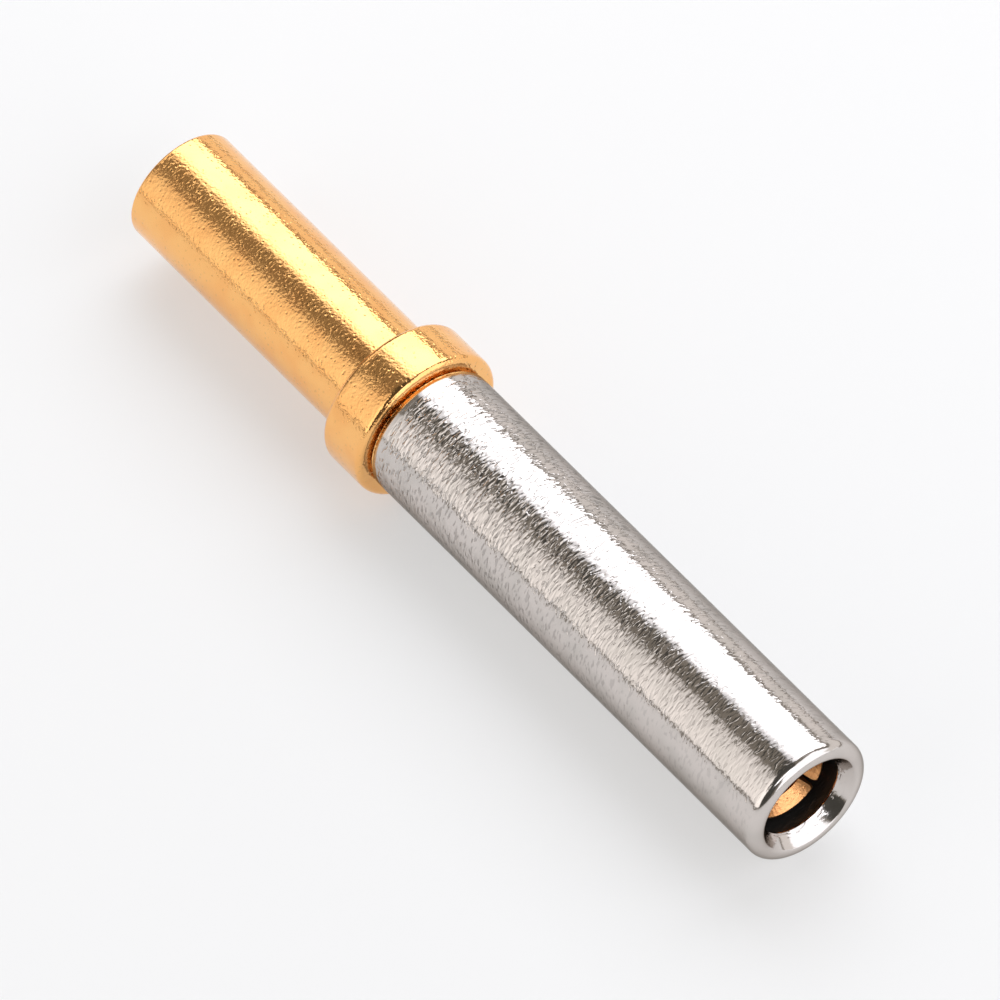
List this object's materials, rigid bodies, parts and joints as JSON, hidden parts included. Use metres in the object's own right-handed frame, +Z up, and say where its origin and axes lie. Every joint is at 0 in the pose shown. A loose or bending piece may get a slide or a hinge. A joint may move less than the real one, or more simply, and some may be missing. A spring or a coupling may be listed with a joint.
{
  "type": "crimp socket contact",
  "caption": "Turned gold-plated crimp contact with a hollow wire barrel, a collar and a slotted spring socket under a stainless hood with a funnel mouth.",
  "frame": {"origin": "on the surface that the contact lies on, under the middle of its length", "axes": "+X along the contact's axis towards the mating mouth, +Z up"},
  "size_m": [0.0204, 0.0036, 0.0036],
  "materials": {
    "gold_plate": "bright gold plate over a turned copper alloy, finely pitted",
    "stainless": "bright stainless steel with fine wrinkles across its length"
  },
  "bodies": {
    "root": {"contact_body": "gold_plate", "hood": "stainless"}
  },
  "joints": []
}
